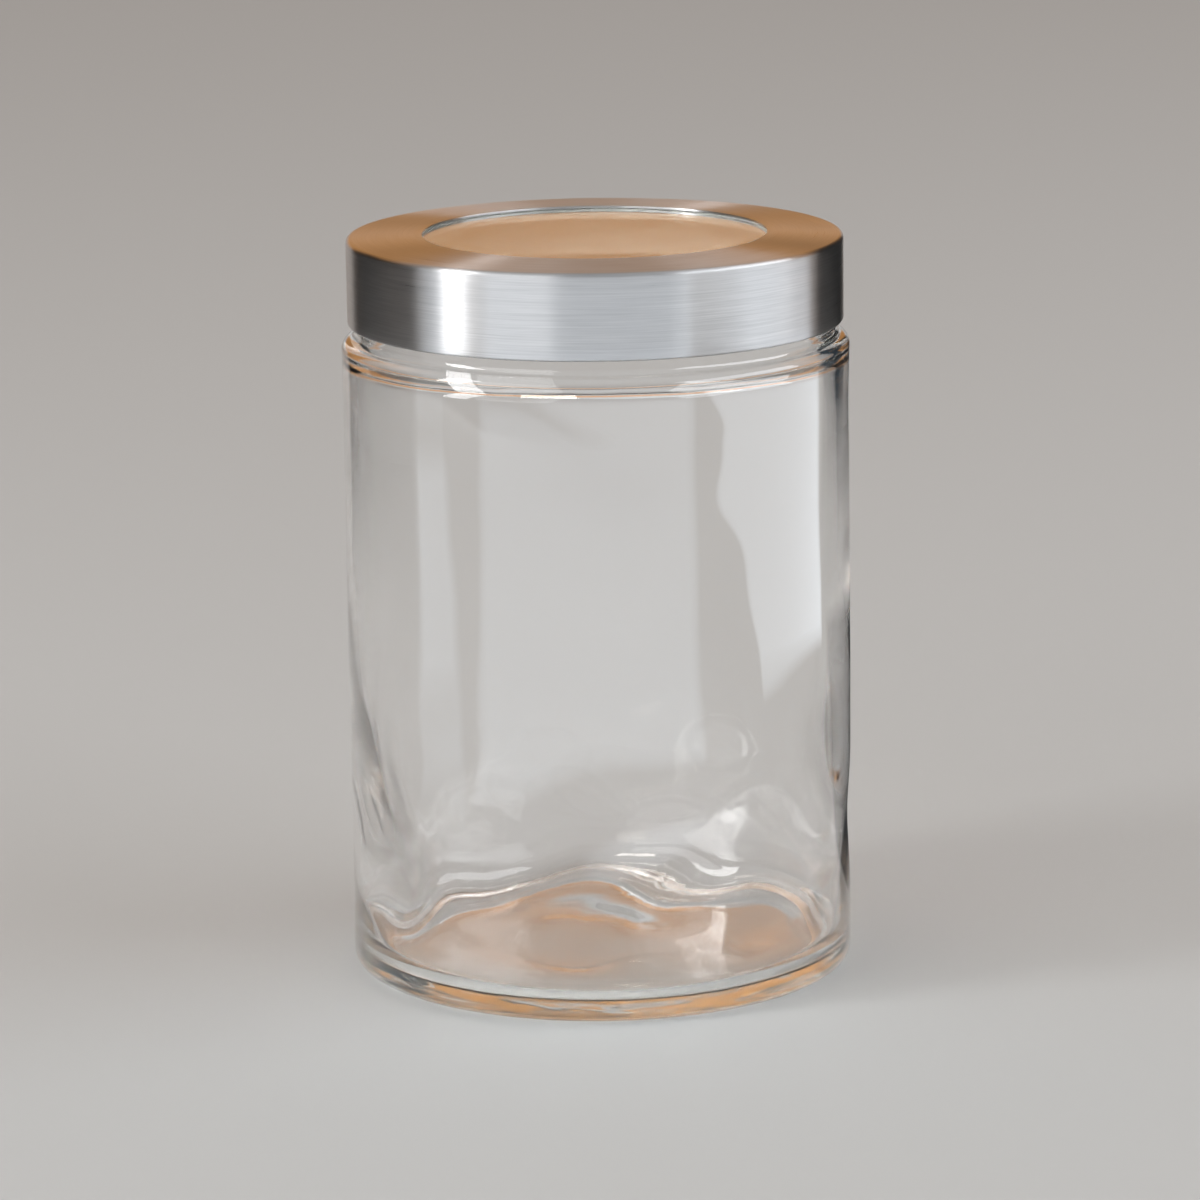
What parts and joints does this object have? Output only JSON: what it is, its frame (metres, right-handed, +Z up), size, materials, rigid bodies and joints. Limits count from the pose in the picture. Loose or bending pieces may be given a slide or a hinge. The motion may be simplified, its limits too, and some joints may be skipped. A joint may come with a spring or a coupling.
{
  "type": "lidded glass canister",
  "caption": "Tall round clear glass storage jar with a push-in brushed steel lid that has a round clear window and a finned seal.",
  "frame": {"origin": "centre of the jar's foot, on the plane that the jar rests on", "axes": "+Z up along the jar's axis, and the way the lid lifts off; the object is round, so X and Y are alike"},
  "size_m": [0.12, 0.12, 0.1759],
  "materials": {
    "jar_glass": "clear moulded soda glass, faintly wavy inside",
    "cap_steel": "brushed round the skirt and turned on the top",
    "window_clear": "polished clear acrylic",
    "seal_clear": "clear soft silicone",
    "liner_clear": "clear moulded plastic",
    "gasket_soft": "translucent soft silicone"
  },
  "bodies": {
    "jar": {"glass_jar": "jar_glass"},
    "lid": {"steel_cap": "cap_steel", "window_disc": "window_clear", "window_seal": "seal_clear", "lid_liner": "liner_clear", "lid_gasket": "gasket_soft"}
  },
  "joints": [
    {"name": "lid_lift", "type": "slide", "parent": "jar", "child": "lid", "axis": [0, 0, 1], "range_m": [0, 0.06]}
  ]
}
